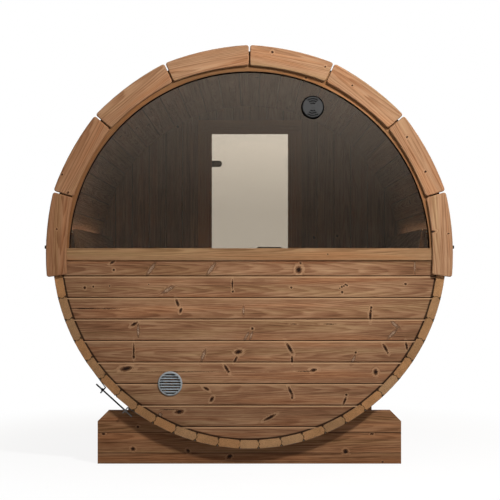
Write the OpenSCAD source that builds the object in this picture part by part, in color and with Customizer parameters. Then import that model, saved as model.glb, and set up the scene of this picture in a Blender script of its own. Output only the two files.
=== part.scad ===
// Barrel sauna: a stave-built barrel on two cradles, with a glazed half-round
// rear end, a boarded front end with a hinged glass door, benches and a floor.
// Millimetres, +Z up, rear window towards -Y, door towards +Y, origin on the
// ground under the middle of the barrel.

/* [Barrel] */
// Length of the staves
barrel_length = 1800; // [1500:10:2400]
// Outer radius of the barrel, at the corners of the staves
shell_r = 997; // [960:1:1040]
// Thickness of a stave
stave_t = 42; // [34:1:50]
// Number of full staves
full_staves = 53; // [45:2:61]
// Angle that the narrow closing stave takes
closing_angle = 5.43; // [4.5:0.01:6.5]
// Radius of the ball and socket along the edges of a stave
bead_r = 12; // [8:0.5:14]
// How far a bead reaches into the next stave
bead_reach = 5; // [3:0.5:7]
// Chamfer along the edges of staves and boards
chamfer = 4; // [1:0.5:4]
// Height of the barrel's underside over the ground
ground_gap = 84; // [60:1:160]
// Depth of the groove that holds an end wall
croze_depth = 10; // [6:1:14]

/* [Fascia rings] */
// How far a fascia ring reaches beyond the barrel
fascia_over = 30; // [20:1:40]
// Radial width of a fascia block
fascia_w = 103; // [80:1:115]
// Thickness of a fascia block
fascia_t = 20; // [16:1:40]
// Number of fascia blocks at each end
fascia_blocks = 8; // [6:2:8]
// Angle from one fascia block to the next
fascia_pitch = 24.5; // [23:0.1:25]
// Gap between two fascia blocks
fascia_gap = 6; // [4:1:16]
// Radius of curvature of a block's long edges
fascia_curve_r = 1370; // [1200:10:1800]
// Radius of a fascia block's corners
fascia_corner = 12; // [8:1:16]
// Rounding of a fascia block's front edges
fascia_edge = 6; // [3:0.5:7]
// Height of the fascia ring's centre over the barrel's
fascia_rise = 12; // [6:1:16]

/* [Roof] */
// Thickness of the roofing underlay
underlay_t = 3; // [2:0.5:4]
// Number of shingle courses on each side
shingle_courses = 10; // [8:1:12]
// Angle above the horizontal at which the shingles start
roof_start = 2.2; // [2:0.1:3]
// Thickness of a course at its exposed lower edge
shingle_butt = 8; // [6:0.5:9]
// Thickness of a course at its upper edge
shingle_top = 3; // [2:0.5:4]
// Half of the angle under the ridge strip
ridge_half = 8; // [6:0.5:10]
// Thickness of the ridge strip
ridge_t = 12; // [10:0.5:14]
// Width of a shingle's tab
tab_w = 333; // [250:1:400]
// Width of the slots between tabs
tab_slot_w = 6; // [4:0.5:8]
// Length of the slots between tabs
tab_slot_l = 116; // [80:1:120]
// Width of the flashing along the barrel's round
flashing_w = 65; // [50:1:90]
// How far the flashing shows below the shingles
flashing_show = 3; // [1:0.5:6]
// Gap between the flashing and the underlay
flashing_gap = 4; // [2:0.5:10]
// How far the eaves flashing stands out from the barrel
drip_out = 40; // [30:1:44]
// How far the drip edge falls over that
drip_fall = 14; // [8:1:20]
// Thickness of the flashing sheet
flashing_t = 1.6; // [1.2:0.1:2]

/* [End walls] */
// How far the rear boards' outer face lies behind the stave ends
rear_recess = 8; // [6:1:20]
// How far the front boards' outer face lies behind the stave ends
front_recess = 36; // [30:1:44]
// Thickness of the wall boards
wall_t = 28; // [24:1:34]
// Cover width of a rear board
rear_board_w = 109.1; // [90:0.1:130]
// Height of the cut board under the sill
top_board_h = 80.5; // [50:0.5:100]
// Cover width of a front board
front_board_w = 107.5; // [100:0.1:115]
// Thickness of a board's tongue
tongue_t = 8; // [6:0.5:10]
// Height of a board's tongue
tongue_h = 8; // [5:0.5:9]

/* [Rear window] */
// Height of the sill's underside below the barrel's centre
sill_drop = 42; // [20:1:80]
// Height of the sill
sill_h = 60; // [50:1:80]
// Radial width of the curved window frame
frame_w = 39; // [32:1:50]
// Number of pieces in the curved frame
frame_arcs = 4; // [3:1:6]
// Turn of the frame's joints from the symmetrical place
frame_turn = 1.4; // [0:0.1:3]
// Thickness of the window glass
glass_t = 8; // [6:0.5:10]
// How far the glass lies behind the frame's outer face
glass_recess = 18; // [14:1:22]
// Depth of the groove that holds the glass
glass_groove = 10; // [6:1:12]
// Width of the black sealing strip round the glass
seal_w = 4.5; // [3:0.5:6]
// Thickness of the sealing strip
seal_t = 5; // [3:0.5:6]

/* [Vents] */
// Radius of the round vent in the glass
rosette_r = 52.5; // [48:0.5:58]
// How far the glass vent stands out from the glass
rosette_out = 18; // [12:1:20]
// Radius of the glass vent's neck
rosette_neck_r = 42; // [40:0.5:44]
// Distance of the glass vent's middle from the curved frame
rosette_in = 113.8; // [95:0.1:140]
// Angle of the glass vent round the barrel's axis
rosette_turn = 66.35; // [50:0.05:80]
// Radius inside the glass vent's first slots
rosette_hub_r = 17; // [12:0.5:18]
// Pitch of the glass vent's slots
rosette_pitch = 11.5; // [9:0.1:12]
// Width of a slot in the glass vent
rosette_slot = 5.5; // [4:0.5:7]
// Angle that a slot in the glass vent takes
rosette_sweep = 76; // [60:1:90]
// Thickness left under the glass vent's slots
rosette_floor = 2; // [1.5:0.5:4]
// Chamfer of the glass vent's rim
rosette_rim = 3; // [2:0.5:4]
// Outer radius of the wall vent
louvre_r = 62; // [56:1:68]
// Width of the wall vent's rim
louvre_rim = 12; // [8:1:14]
// Pitch of the wall vent's blades
louvre_pitch = 13.6; // [11:0.1:16]
// Thickness of a vent blade
blade_t = 2.5; // [2:0.1:3]
// Width of a vent blade
blade_w = 10.9; // [9:0.1:12]
// Slope of the vent blades
blade_slope = 40; // [30:1:50]
// How far the wall vent stands out from the boards
louvre_out = 8; // [5:1:12]
// Distance of the wall vent's middle from the barrel's inside
louvre_in = 173.9; // [150:0.1:230]
// Angle of the wall vent round the barrel's axis
louvre_turn = -121; // [-135:0.5:-110]

/* [Doorway] */
// Clear width between the jambs
door_clear_w = 488; // [440:1:520]
// Distance from the doorway's head up to the barrel's inside
door_head_in = 174; // [160:1:210]
// Width of the jambs, the head and the threshold
jamb_w = 44; // [38:1:50]
// Width of the casing boards
casing_w = 42; // [38:1:46]
// Thickness of the casing boards
casing_t = 12; // [10:1:16]
// Height of the threshold's top over the floor
threshold_over = 10; // [5:1:20]

/* [Door] */
// Thickness of the door glass
door_glass_t = 8; // [6:0.5:10]
// How far the door glass reaches past the opening's edges
door_lap = 14; // [10:1:18]
// Space between the jambs and the door glass
door_stand_off = 9; // [9:0.5:11]
// Thickness of a hinge clip's plates
clip_t = 4; // [3:0.5:4]
// Height of a hinge clip
clip_h = 40; // [34:1:46]
// Length of a hinge clip over the glass
clip_l = 77; // [65:1:85]
// Radius of the hinge pin
pin_r = 3; // [2.5:0.1:3.5]
// Radius of the hinge knuckles
knuckle_r = 6; // [5.5:0.1:6.5]
// Distance of a hinge from the top or bottom edge of the glass
hinge_in = 203; // [150:1:260]
// Length of the handle bars
handle_l = 162; // [140:1:180]
// Height of the handle bars
handle_h = 30; // [24:1:36]
// Depth of the handle bars
handle_d = 22; // [18:1:26]
// Space between a handle bar and the glass
handle_stand = 17; // [12:1:20]
// Distance of the handle bars from the free edge of the glass
handle_edge = 52.4; // [40:0.1:70]
// Height of the handle's top over the floor
handle_over_floor = 878; // [840:1:900]

/* [Floor] */
// Height of the floor's top over the barrel's inside
floor_up = 130; // [118:1:150]
// Thickness of the floor slats
floor_t = 28; // [22:1:32]
// Width of a floor slat
floor_slat_w = 93; // [80:1:95]
// Gap between floor slats
floor_gap = 12; // [8:1:14]
// Clearance between the floor and the doorway's threshold
floor_end_gap = 5; // [2:1:10]
// Number of floor joists
joists_n = 5; // [3:1:6]
// Distance of the joists' ends from the floor's edges
joist_end = 34; // [25:1:50]
// Width of joists, bearers and legs
timber_w = 45; // [38:1:50]

/* [Benches] */
// Height of the seats over the floor
seat_up = 465; // [430:1:480]
// Gap between a seat's outer edge and the barrel
seat_side_gap = 3.3; // [2:0.1:8]
// Number of slats in a seat
seat_slats_n = 5; // [4:1:5]
// Width of a seat slat
seat_slat_w = 79; // [70:1:82]
// Gap between seat slats
seat_gap = 10; // [8:1:11]
// Thickness of seat slats
seat_t = 28; // [22:1:32]
// Height of a bench bearer
bearer_h = 70; // [60:1:90]
// Distance of the legs from a seat's front edge
leg_inset = 8; // [4:1:20]
// Number of supports under each bench
supports_n = 3; // [3:1:4]
// Distance of the outer supports from the seats' ends
support_end = 45; // [30:1:90]
// Clearance between the benches and the end walls
bench_end_gap = 5; // [2:1:10]
// Lean of the backrests
back_lean = 9.6; // [6:0.1:12]
// Height of a backrest's top edge over the seat
back_h = 476; // [450:1:490]
// Distance of a backrest's top edge from the barrel's inside
back_off = 63.7; // [60:0.1:80]
// Thickness of backrest slats
back_t = 22; // [18:1:24]
// Number of backrest slats
back_slats_n = 4; // [3:1:4]
// Width of a backrest slat
back_slat_w = 100; // [90:1:104]
// Gap between backrest slats
back_gap = 10; // [6:1:14]
// Thickness of a backrest bracket
bracket_t = 28; // [22:1:40]
// How far a bracket ends below the backrest's top edge
bracket_drop = 20; // [15:1:60]
// Height of the light strips
light_h = 12; // [8:1:16]
// Depth of the light strips
light_d = 8; // [6:1:10]

/* [Bands] */
// Distance of a band's middle from the stave ends
band_in = 30; // [20:1:40]
// Width of a band
band_w = 25; // [20:1:30]
// Thickness of a band
band_t = 1.5; // [1:0.1:2]
// Angle at which the tensioner sits
tensioner_angle = -132.35; // [-136:0.05:-129]
// How far a band's ends lift off the barrel at the tensioner
band_lift = 7; // [4:0.5:9]
// Distance between the tensioner's lugs
lug_span = 152; // [140:1:170]
// Height of the lugs over the barrel
lug_h = 42; // [38:1:50]
// Thickness of a lug
lug_t = 6; // [4:0.5:8]
// Radius of the tensioner rod
rod_r = 4; // [3:0.5:5]
// Length of the tensioner rod
rod_l = 245; // [220:1:270]
// Height of the tensioner rod over the barrel
rod_up = 24; // [20:1:28]

/* [Cradles] */
// Distance of a cradle's outer face from the stave ends
cradle_in = 60; // [60:1:300]
// Thickness of a cradle
cradle_t = 45; // [38:1:90]
// Width of a cradle
cradle_w = 1550; // [1480:2:1640]
// Height of the bottom board
cradle_low_h = 54.5; // [45:0.5:60]
// Height of the middle board
cradle_mid_h = 106; // [100:1:120]
// Height of the top boards
cradle_top_h = 110; // [100:1:120]
// Chamfer of the cradle's top corners
cradle_chamfer = 53.5; // [30:0.5:70]

/* [Fits] */
// Clearance between two pieces that seat on each other
seat = 0.3; // [0.2:0.05:0.4]
// Radial clearance of a hinge pin in its knuckle
pin_play = 0.05; // [0.02:0.01:0.1]
// Clearance between the moving and fixed knuckles
knuckle_play = 1; // [0.5:0.1:1.5]

/* [Hidden] */
$fn = 180;

// How far cuts reach past what they cut
over = 1;

wood = "peru";
pale_wood = "burlywood";
dark_wood = "sienna";

// Places along the barrel; the rear end has the negative values
end_y = barrel_length / 2;
rear_out_y = end_y - rear_recess;
rear_in_y = rear_out_y - wall_t;
wall_out_y = end_y - front_recess;
wall_in_y = wall_out_y - wall_t;

// Radii of the barrel
barrel_z = ground_gap + shell_r;
stave_angle = (360 - closing_angle) / full_staves;
stave_out = shell_r * cos(stave_angle / 2);
stave_in = stave_out - stave_t;
bead_inset = bead_r - bead_reach;
bead_mid_r = (stave_out + stave_in) / 2;
croze_r = stave_in + croze_depth;
wall_r = croze_r - seat;
inner_r = stave_in - seat;
bottom_side_staves = 2;
tongue_play = 1;
stave_groups = 7;

// Fascia
fascia_out_r = shell_r + fascia_over;
fascia_in_r = fascia_out_r - fascia_w;
fascia_segments = 7;
corner_segments = 3;
edge_steps = 3;

// Roof
band_in_r = shell_r + seat;
band_out_r = band_in_r + band_t;
underlay_in_r = band_out_r + seat;
underlay_out_r = underlay_in_r + underlay_t;
shingle_in_r = underlay_out_r + seat;
shingle_angle = (90 - ridge_half - roof_start) / shingle_courses;
shingle_gap_angle = arc_angle(seat, shingle_in_r);
shingle_segments = 4;
flashing_low = roof_start - arc_angle(flashing_show, shingle_in_r);
flashing_high = flashing_low + arc_angle(flashing_w, underlay_in_r);
underlay_start = flashing_high + arc_angle(flashing_gap, underlay_in_r);

// Rear window
sill_z = -sill_drop;
sill_top_z = sill_z + sill_h;
frame_out_r = inner_r;
frame_in_r = frame_out_r - frame_w;
glass_out_y = end_y - glass_recess;
glass_r = frame_in_r + glass_groove - seat;
groove_play = 1;
glass_low_z = sill_top_z - glass_groove + groove_play;

// Vents
rosette_r_place = frame_in_r - rosette_in;
rosette_x = rosette_r_place * cos(rosette_turn);
rosette_z = rosette_r_place * sin(rosette_turn);
louvre_hole_r = louvre_r - louvre_rim;
louvre_x = (inner_r - louvre_in) * cos(louvre_turn);
louvre_z = (inner_r - louvre_in) * sin(louvre_turn);

// Floor
floor_top_z = floor_up - inner_r;
floor_low_z = floor_top_z - floor_t;
floor_pitch = floor_slat_w + floor_gap;

// Benches
bench_l = 2 * (wall_in_y - bench_end_gap);
seat_top_z = floor_top_z + seat_up;
seat_low_z = seat_top_z - seat_t;
seat_pitch = seat_slat_w + seat_gap;
seat_out_x = half_chord(inner_r, seat_low_z) - seat_side_gap;
seat_in_x = seat_out_x - seat_pitch * seat_slats_n + seat_gap;
leg_x = seat_in_x + leg_inset;
back_top_z = seat_top_z + back_h;
back_top_x = half_chord(inner_r, back_top_z) - back_off;
back_pitch = back_slat_w + back_gap;

// Doorway
jamb_in_x = door_clear_w / 2;
jamb_out_x = jamb_in_x + jamb_w;
door_head_z = inner_r - door_head_in;
head_top_z = door_head_z + jamb_w;
threshold_top_z = floor_top_z + threshold_over;
threshold_low_z = threshold_top_z - jamb_w;
strip_x = ceil(jamb_out_x / front_board_w) * front_board_w;
jamb_inner_y = wall_in_y - casing_t;

// Door
door_in_y = wall_out_y + door_stand_off;
door_out_y = door_in_y + door_glass_t;
door_edge_x = jamb_in_x + door_lap;
door_top_z = door_head_z + door_lap;
door_low_z = threshold_top_z - door_lap;
clip_inset = 2;
clip_edge_x = door_edge_x - clip_inset;
pin_reach = 16;
pin_x = -(door_edge_x + pin_reach);
pin_y = door_out_y;
leaf_t = 4;
leaf_reach = 7;
leaf_in_x = door_edge_x + leaf_reach;
leaf_lap = 2;
leaf_out_x = jamb_out_x + leaf_lap;
leaf_h = 60;
clip_bolt_r = 5;
clip_bolt_spacing = 40;
bolt_play = 0.3;
hinge_zs = [door_low_z + hinge_in, door_top_z - hinge_in];
handle_post_r = 7;
handle_post_in = 28;
handle_x = door_edge_x - handle_edge - handle_l / 2;
handle_top_z = floor_top_z + handle_over_floor;

// Floor between the doorway and the rear wall, and between the bench legs
floor_l = 2 * (jamb_inner_y - floor_end_gap);
floor_room = 2 * min(half_chord(inner_r, floor_low_z), leg_x - floor_gap);
floor_slats_n = floor((floor_room + floor_gap) / floor_pitch);
floor_w = floor_slats_n * floor_pitch - floor_gap;

// Bands and cradles
band_y = end_y - band_in;
lug_turn = asin(lug_span / 2 / (band_in_r + band_lift));
band_bite = 0.3;
nut_r = 7.5;
nut_h = 7;
cradle_y = end_y - cradle_in - cradle_t / 2;
cradle_r = shell_r + seat;

// ---------- helpers ----------

function unit(v) = v / norm(v);

// Angle that a length takes on a circle
function arc_angle(length, r) = length / r * 180 / PI;

// Half of a circle's width at a height from its centre
function half_chord(r, z) = sqrt(r * r - z * z);

// Arc of radius r that rounds the corner b between a and c
function corner(a, b, c, r, n) =
    let (
        u = unit(a - b),
        w = unit(c - b),
        half = acos(u * w) / 2,
        centre = b + unit(u + w) * r / sin(half),
        p = b + u * r / tan(half) - centre,
        q = b + w * r / tan(half) - centre,
        from = atan2(p[1], p[0]),
        sweep = (atan2(q[1], q[0]) - from + 540) % 360 - 180
    )
    [for (i = [0:n]) centre + r * [cos(from + sweep * i / n), sin(from + sweep * i / n)]];

// Extrudes an X-Z profile along Y, evenly about the middle
module along_y(length) {
    rotate([90, 0, 0]) linear_extrude(height = length, center = true) children();
}

// Cylinder along Y between two places
module rod_y(r, y0, y1) {
    translate([0, y1, 0]) rotate([90, 0, 0]) cylinder(r = r, h = y1 - y0);
}

// Box between two corners
module box(low, high) {
    translate(low) cube(high - low);
}

module at_barrel() {
    translate([0, 0, barrel_z]) children();
}

// Draws its children at the rear, or turned round to the front end
module at_end(front) {
    if (front) mirror([0, 1, 0]) children();
    else children();
}

module mirrored_x() {
    children();
    mirror([1, 0, 0]) children();
}

// Stack of outlines with the same number of points
module loft(outlines, heights) {
    n = len(outlines[0]);
    top = len(heights) - 1;
    points = [for (k = [0:top]) for (p = outlines[k]) [p[0], p[1], heights[k]]];
    sides = [
        for (k = [0:top - 1]) for (i = [0:n - 1])
            [k * n + i, (k + 1) * n + i, (k + 1) * n + (i + 1) % n, k * n + (i + 1) % n]
    ];
    low = [for (i = [0:n / 2 - 2]) [i, i + 1, n - 2 - i, n - 1 - i]];
    high = [for (face = low) [for (i = [3:-1:0]) top * n + face[i]]];
    polyhedron(points = points, faces = concat(sides, low, high), convexity = 4);
}

// Section of a tongue-and-groove board: thickness along x, cover width along y
module board_section(width) {
    mid = wall_t / 2;
    tongue = tongue_t / 2;
    groove = tongue + seat;
    top = width - seat;
    polygon([
        [0, chamfer], [0, top - chamfer], [chamfer, top], [mid - tongue, top],
        [mid - tongue, width + tongue_h], [mid + tongue, width + tongue_h],
        [mid + tongue, top], [wall_t - chamfer, top], [wall_t, top - chamfer],
        [wall_t, chamfer], [wall_t - chamfer, 0], [mid + groove, 0],
        [mid + groove, tongue_h + tongue_play], [mid - groove, tongue_h + tongue_play],
        [mid - groove, 0], [chamfer, 0]
    ]);
}

// ---------- barrel ----------

// One stave across the angle span, pointing along +X from the barrel's axis
module stave_section(span) {
    half = span / 2;
    slit = seat / 2;
    edge = tan(half);
    along = [cos(half), sin(half)];
    out_normal = [-sin(half), cos(half)];
    side = [
        [stave_in, stave_in * edge - slit - chamfer],
        [stave_in + chamfer, (stave_in + chamfer) * edge - slit],
        [stave_out - chamfer, (stave_out - chamfer) * edge - slit],
        [stave_out, stave_out * edge - slit - chamfer]
    ];
    other = [for (i = [3:-1:0]) [side[i][0], -side[i][1]]];
    socket = bead_mid_r * [along[0], -along[1]] + bead_inset * [out_normal[0], -out_normal[1]];
    difference() {
        union() {
            polygon(concat(side, other));
            translate(bead_mid_r * along - bead_inset * out_normal) circle(bead_r);
        }
        translate(socket) circle(bead_r + seat);
    }
}

module stave(middle, span) {
    difference() {
        along_y(barrel_length) rotate(middle) stave_section(span);
        rod_y(croze_r, -rear_out_y - seat, seat - rear_in_y);
        rod_y(croze_r, wall_in_y - seat, wall_out_y + seat);
    }
}

function stave_middle(i) = -90 + closing_angle / 2 + stave_angle * (i + 0.5);

module full_stave(i) {
    stave(stave_middle(i), stave_angle);
}

function group_start(g) =
    bottom_side_staves + round(g * (full_staves - 2 * bottom_side_staves) / stave_groups);

module stave_group(g) {
    color(wood) at_barrel()
        for (i = [group_start(g):group_start(g + 1) - 1]) full_stave(i);
}

module staves_bottom() {
    color(wood) at_barrel() {
        stave(-90, closing_angle);
        for (i = [0:bottom_side_staves - 1]) {
            full_stave(i);
            full_stave(full_staves - 1 - i);
        }
    }
}

// ---------- fascia rings ----------

function arc_point(centre_x, r, angle) = [centre_x + r * cos(angle), r * sin(angle)];

// Outline of a fascia block about +X, drawn in by inset all round
function fascia_outline(inset) =
    let (
        n = fascia_segments,
        half = fascia_pitch / 2,
        centre_x = fascia_out_r - fascia_curve_r,
        out_r = fascia_curve_r - inset,
        in_r = fascia_curve_r - fascia_w + inset,
        end_shift = centre_x * sin(half) - fascia_gap / 2 - inset,
        out_end = half + asin(end_shift / out_r),
        in_end = half + asin(end_shift / in_r),
        outer = [for (i = [0:n]) arc_point(centre_x, out_r, out_end * (2 * i / n - 1))],
        inner = [for (i = [0:n]) arc_point(centre_x, in_r, in_end * (1 - 2 * i / n))],
        r = fascia_corner - inset,
        k = corner_segments
    )
    concat(
        corner(inner[n], outer[0], outer[1], r, k), [for (i = [1:n - 1]) outer[i]],
        corner(outer[n - 1], outer[n], inner[0], r, k),
        corner(outer[n], inner[0], inner[1], r, k), [for (i = [1:n - 1]) inner[i]],
        corner(inner[n - 1], inner[n], outer[0], r, k)
    );

// Block with its back on z = 0 and rounded front edges
module fascia_block() {
    turns = [for (i = [0:edge_steps]) 90 * i / edge_steps];
    insets = concat([0], [for (a = turns) fascia_edge * (1 - cos(a))]);
    heights = concat([0], [for (a = turns) fascia_t - fascia_edge * (1 - sin(a))]);
    loft([for (inset = insets) fascia_outline(inset)], heights);
}

// The blocks of one side of a ring, counted down from the top
module fascia_side(front) {
    color(wood) at_barrel() at_end(front)
        translate([0, -end_y - seat, fascia_rise]) rotate([90, 0, 0])
            for (i = [0:fascia_blocks / 2 - 1])
                rotate(90 - fascia_pitch * (i + 0.5)) fascia_block();
}

module rear_fascia_right() fascia_side(false);
module rear_fascia_left() mirror([1, 0, 0]) fascia_side(false);
module front_fascia_right() fascia_side(true);
module front_fascia_left() mirror([1, 0, 0]) fascia_side(true);

// ---------- roof ----------

module roof_underlay() {
    color("dimgray") at_barrel() translate([0, end_y, 0]) rotate([90, 0, 0])
        rotate(underlay_start)
            rotate_extrude_ring(underlay_in_r, underlay_out_r, barrel_length, 180 - 2 * underlay_start);
}

// Part of a tube about Z, from the X axis on
module rotate_extrude_ring(in_r, out_r, length, angle) {
    rotate_extrude(angle = angle) translate([in_r, 0]) square([out_r - in_r, length]);
}

// Section of one shingle course, thicker at its lower edge
module shingle_section(i) {
    from = roof_start + shingle_angle * i + shingle_gap_angle;
    step = (shingle_angle - shingle_gap_angle) / shingle_segments;
    fall = (shingle_butt - shingle_top) / shingle_segments;
    polygon(concat(
        [for (k = [0:shingle_segments]) arc_point(0, shingle_in_r, from + step * k)],
        [for (k = [shingle_segments:-1:0])
            arc_point(0, shingle_in_r + shingle_butt - fall * k, from + step * k)]
    ));
}

// Slots between the tabs of a course, staggered from one course to the next
module tab_slots(i) {
    half = arc_angle(tab_slot_l / 2, shingle_in_r);
    low_r = shingle_in_r * cos(half) - over;
    high_r = shingle_in_r + shingle_butt + over;
    shift = i % 2 == 0 ? 0 : tab_w / 2;
    n = ceil(barrel_length / tab_w / 2);
    rotate([0, -(roof_start + shingle_angle * i + half), 0])
        for (k = [-n:n]) {
            y = tab_w * k + shift;
            if (abs(y) < end_y - tab_slot_w)
                box([low_r, y - tab_slot_w / 2, -tab_slot_l / 2 - over],
                    [high_r, y + tab_slot_w / 2, tab_slot_l / 2]);
        }
}

module roof_shingles_right() {
    color("dimgray") at_barrel()
        for (i = [0:shingle_courses - 1]) difference() {
            along_y(barrel_length) shingle_section(i);
            tab_slots(i);
        }
}

module roof_shingles_left() {
    mirror([1, 0, 0]) roof_shingles_right();
}

module roof_ridge() {
    half = ridge_half - shingle_gap_angle;
    color("dimgray") at_barrel() translate([0, end_y, 0]) rotate([90, 0, 0])
        rotate(90 - half)
            rotate_extrude_ring(shingle_in_r, shingle_in_r + ridge_t, barrel_length, 2 * half);
}

// Folded sheet under the lowest shingles, flared out into a drip edge
module flashing_section() {
    n = shingle_segments;
    foot = flashing_low - arc_angle(flashing_t, underlay_in_r);
    out_r = underlay_in_r + flashing_t;
    tip = [shell_r + drip_out, out_r * sin(flashing_low) - drip_fall];
    polygon(concat(
        [for (k = [0:n]) arc_point(0, underlay_in_r, foot + (flashing_high - foot) * k / n)],
        [for (k = [n:-1:0])
            arc_point(0, out_r, flashing_low + (flashing_high - flashing_low) * k / n)],
        [tip, tip - [flashing_t / 3, flashing_t]]
    ));
}

module eaves_flashing() {
    color("black") at_barrel() mirrored_x() along_y(barrel_length) flashing_section();
}

// ---------- rear end ----------

// Horizontal rear board; board 0 is the cut one under the sill
module rear_board(i) {
    low_z = sill_z - top_board_h - rear_board_w * i;
    translate([-shell_r, -rear_out_y, low_z]) rotate([90, 0, 90])
        linear_extrude(height = 2 * shell_r) board_section(rear_board_w);
}

module rear_wall_boards() {
    rows = ceil((stave_in + sill_z - top_board_h) / rear_board_w) + 1;
    color(wood) at_barrel() for (i = [0:rows - 1])
        difference() {
            intersection() {
                rear_board(i);
                rod_y(wall_r, -rear_out_y - over, -rear_in_y + over);
                box([-shell_r, -end_y, -shell_r], [shell_r, 0, sill_z - seat]);
            }
            translate([louvre_x, 0, louvre_z]) rod_y(louvre_hole_r, -end_y, 0);
        }
}

// Slab along X that carries the curved frame, grooved for the window glass
module rear_sill() {
    color(pale_wood) at_barrel() difference() {
        intersection() {
            box([-shell_r, -end_y, sill_z], [shell_r, -rear_in_y, sill_top_z]);
            rod_y(frame_out_r, -end_y - over, -rear_in_y + over);
        }
        box([-shell_r, -glass_out_y - seat, sill_top_z - glass_groove],
            [shell_r, -glass_out_y + glass_t + seat, sill_top_z + over]);
    }
}

module rear_glass_frame() {
    pitch = 180 / frame_arcs;
    joints = [for (i = [1:frame_arcs - 1]) pitch * i + frame_turn];
    low_angle = -2 * asin(sill_drop / frame_in_r);
    starts = concat([low_angle], joints);
    stops = concat(joints, [180 - low_angle]);
    slit = seat / 2 / frame_in_r * 180 / PI;
    color(pale_wood) at_barrel() difference() {
        for (i = [0:frame_arcs - 1])
            translate([0, -rear_in_y, 0]) rotate([90, 0, 0]) rotate(starts[i] + slit)
                rotate_extrude_ring(frame_in_r, frame_out_r, end_y - rear_in_y,
                    stops[i] - starts[i] - 2 * slit);
        rod_y(frame_in_r + glass_groove, -glass_out_y - seat, -glass_out_y + glass_t + seat);
        box([-shell_r, -end_y - over, -shell_r], [shell_r, 0, sill_top_z + seat]);
    }
}

module rear_glass() {
    color("dimgray", 0.5) at_barrel() difference() {
        intersection() {
            rod_y(glass_r, -glass_out_y, -glass_out_y + glass_t);
            box([-shell_r, -end_y, glass_low_z], [shell_r, 0, shell_r]);
        }
        translate([rosette_x, 0, rosette_z]) rod_y(rosette_neck_r + seat, -end_y, 0);
    }
}

// Black strip in the corner between the glass and its frame
module glass_seal() {
    color("black") at_barrel() intersection() {
        difference() {
            rod_y(frame_in_r - seat, -glass_out_y - seal_t, -glass_out_y - seat);
            rod_y(frame_in_r - seat - seal_w, -end_y, 0);
        }
        box([-shell_r, -end_y, sill_top_z + seat], [shell_r, 0, shell_r]);
    }
}

// ---------- vents ----------

// Slots of the glass vent: three arcs above its middle and three below
module rosette_slots() {
    for (middle = [90, 270]) for (i = [0:2]) {
        in_r = rosette_hub_r + rosette_pitch * i;
        translate([0, 0, rosette_floor]) rotate(middle - rosette_sweep / 2)
            rotate_extrude_ring(in_r, in_r + rosette_slot, rosette_out, rosette_sweep);
    }
}

module glass_vent() {
    neck_l = glass_t + 2 * seat;
    color("dimgray") at_barrel() translate([rosette_x, -glass_out_y, rosette_z])
        rotate([90, 0, 0]) {
            difference() {
                translate([0, 0, seat]) rotate_extrude() polygon([
                    [0, 0], [rosette_r, 0], [rosette_r, rosette_out - rosette_rim],
                    [rosette_r - rosette_rim, rosette_out], [0, rosette_out]
                ]);
                rosette_slots();
            }
            translate([0, 0, -neck_l + seat]) cylinder(r = rosette_neck_r, h = neck_l + seat);
            translate([0, 0, -neck_l - rosette_rim])
                cylinder(r = rosette_r, h = rosette_rim + seat);
        }
}

module wall_vent() {
    blades = floor(louvre_hole_r / louvre_pitch);
    tube_in_r = louvre_hole_r - blade_t;
    color("silver") at_barrel()
        translate([louvre_x, -rear_out_y - seat, louvre_z]) rotate([90, 0, 0]) {
            difference() {
                rotate_extrude() polygon([
                    [0, 0], [louvre_r, 0], [louvre_r, louvre_out / 2],
                    [louvre_r - louvre_out / 2, louvre_out], [0, louvre_out]
                ]);
                translate([0, 0, -over]) cylinder(r = tube_in_r, h = louvre_out + 2 * over);
            }
            difference() {
                translate([0, 0, -wall_t]) cylinder(r = louvre_hole_r - seat, h = wall_t + over);
                translate([0, 0, -wall_t - over])
                    cylinder(r = tube_in_r, h = wall_t + louvre_out);
            }
            intersection() {
                cylinder(r = tube_in_r + blade_t / 2, h = louvre_out - over);
                for (i = [-blades:blades]) translate([0, louvre_pitch * i, louvre_out / 2])
                    rotate([-blade_slope, 0, 0])
                        cube([2 * louvre_hole_r, blade_w, blade_t], center = true);
            }
        }
}

// ---------- front end ----------

// Vertical front board that starts at x and goes on towards +X
module front_board(x) {
    translate([x, wall_out_y, -shell_r]) rotate([0, 0, -90])
        linear_extrude(height = 2 * shell_r) board_section(front_board_w);
}

// Part of the boarded front wall between two corners in X and Z
module front_boards(low, high) {
    first = floor(low[0] / front_board_w);
    last = ceil(high[0] / front_board_w) - 1;
    for (i = [first:last]) intersection() {
        front_board(front_board_w * i);
        rod_y(wall_r, wall_in_y - over, wall_out_y + over);
        box([low[0], 0, low[1]], [high[0], end_y, high[1]]);
    }
}

// Boards beside the doorway, with the strip that runs up along the jamb
module front_wall_side() {
    front_boards([strip_x + seat, -shell_r], [shell_r, shell_r]);
    front_boards([jamb_out_x + seat, threshold_low_z], [strip_x - seat, head_top_z]);
}

module front_wall_right() {
    color(wood) at_barrel() front_wall_side();
}

module front_wall_left() {
    mirror([1, 0, 0]) front_wall_right();
}

module front_wall_over_door() {
    color(wood) at_barrel()
        front_boards([-strip_x, head_top_z + seat], [strip_x, shell_r]);
}

module front_wall_under_door() {
    color(wood) at_barrel()
        front_boards([-strip_x, -shell_r], [strip_x, threshold_low_z - seat]);
}

module door_frame() {
    color(pale_wood) at_barrel() {
        mirrored_x() box([jamb_in_x, jamb_inner_y, threshold_top_z + seat],
            [jamb_out_x, wall_out_y, door_head_z - seat]);
        box([-jamb_out_x, jamb_inner_y, door_head_z], [jamb_out_x, wall_out_y, head_top_z]);
        box([-jamb_out_x, jamb_inner_y, threshold_low_z],
            [jamb_out_x, wall_out_y, threshold_top_z]);
    }
}

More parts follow.
